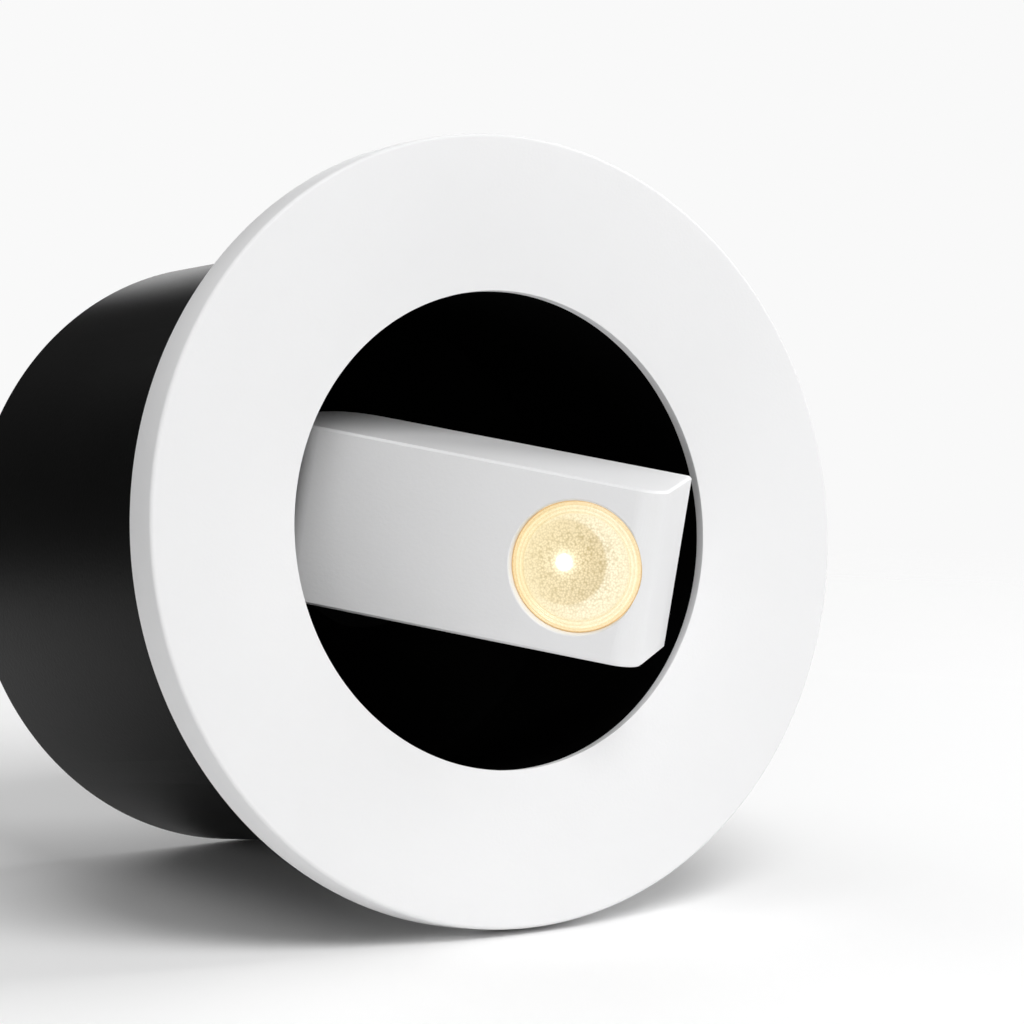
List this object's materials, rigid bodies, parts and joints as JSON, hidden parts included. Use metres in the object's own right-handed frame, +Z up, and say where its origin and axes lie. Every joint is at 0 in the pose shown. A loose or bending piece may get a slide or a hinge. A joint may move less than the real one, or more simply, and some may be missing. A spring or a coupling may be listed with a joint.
{
  "type": "recessed wall light",
  "caption": "Round recessed wall light: white trim ring, black housing and cup, and a white bar-shaped head that turns, tilts out of the cup and twists to aim its lens.",
  "frame": {"origin": "on the axis of the round housing, at the wall plane, which is the back face of the trim ring", "axes": "+Y along the housing's axis into the wall, so the front faces -Y; +Z up; +X to the right as seen from the front"},
  "size_m": [0.08, 0.0704, 0.08],
  "materials": {
    "white_paint": "matte powder coat",
    "gasket_rubber": "matte",
    "black_housing": "matte",
    "black_cup": "matte",
    "black_fork": "matte",
    "screw_steel": "zinc plated",
    "pivot_steel": "satin",
    "contact_brass": "satin",
    "washer_fibre": "matte",
    "board_green": "solder mask",
    "board_white": "solder mask",
    "coil_yellow": "tape",
    "capacitor_blue": "sleeve",
    "terminal_white": "moulded",
    "lead_red": "insulation",
    "lens_warm": "pebbled",
    "optic_white": "reflective",
    "led_yellow": "phosphor",
    "sink_aluminium": "plain"
  },
  "bodies": {
    "base": {"trim_ring": "white_paint", "wall_gasket": "gasket_rubber", "housing_can": "black_housing", "light_cup": "black_cup", "ring_screws": "screw_steel", "rear_cover": "black_housing", "rear_cover_screws": "screw_steel", "cable_grommet": "gasket_rubber", "driver_board": "board_green", "driver_board_screws": "screw_steel", "driver_coil": "coil_yellow", "driver_capacitor": "capacitor_blue", "terminal_block": "terminal_white", "terminal_screws": "contact_brass", "output_leads": "lead_red"},
    "turret": {"turret_hub": "black_fork", "fork": "black_fork", "fork_screws": "black_fork", "tilt_pin": "pivot_steel", "friction_washer": "washer_fibre", "retaining_nut": "contact_brass"},
    "pivot": {"knuckle": "pivot_steel", "axle_clip": "pivot_steel"},
    "head": {"head_shell": "white_paint", "head_back_plate": "white_paint", "back_plate_screws": "screw_steel", "axle_bush": "contact_brass", "lens": "lens_warm", "optic": "optic_white", "led_board": "board_white", "led_chip": "led_yellow", "heat_block": "sink_aluminium", "head_leads": "lead_red"}
  },
  "joints": [
    {"name": "turn", "type": "hinge", "parent": "base", "child": "turret", "pos_m": [0, 0.003, 0], "axis": [0, 1, 0], "range_deg": [-185, 143]},
    {"name": "tilt", "type": "hinge", "parent": "turret", "child": "pivot", "pos_m": [0, 0.003, 0], "axis": [0.3584, 0, 0.9336], "range_deg": [-3, 42]},
    {"name": "twist", "type": "hinge", "parent": "pivot", "child": "head", "pos_m": [0, 0.003, 0], "axis": [0.6938, -0.6691, -0.2663], "range_deg": [-45.5, 2.5]}
  ]
}
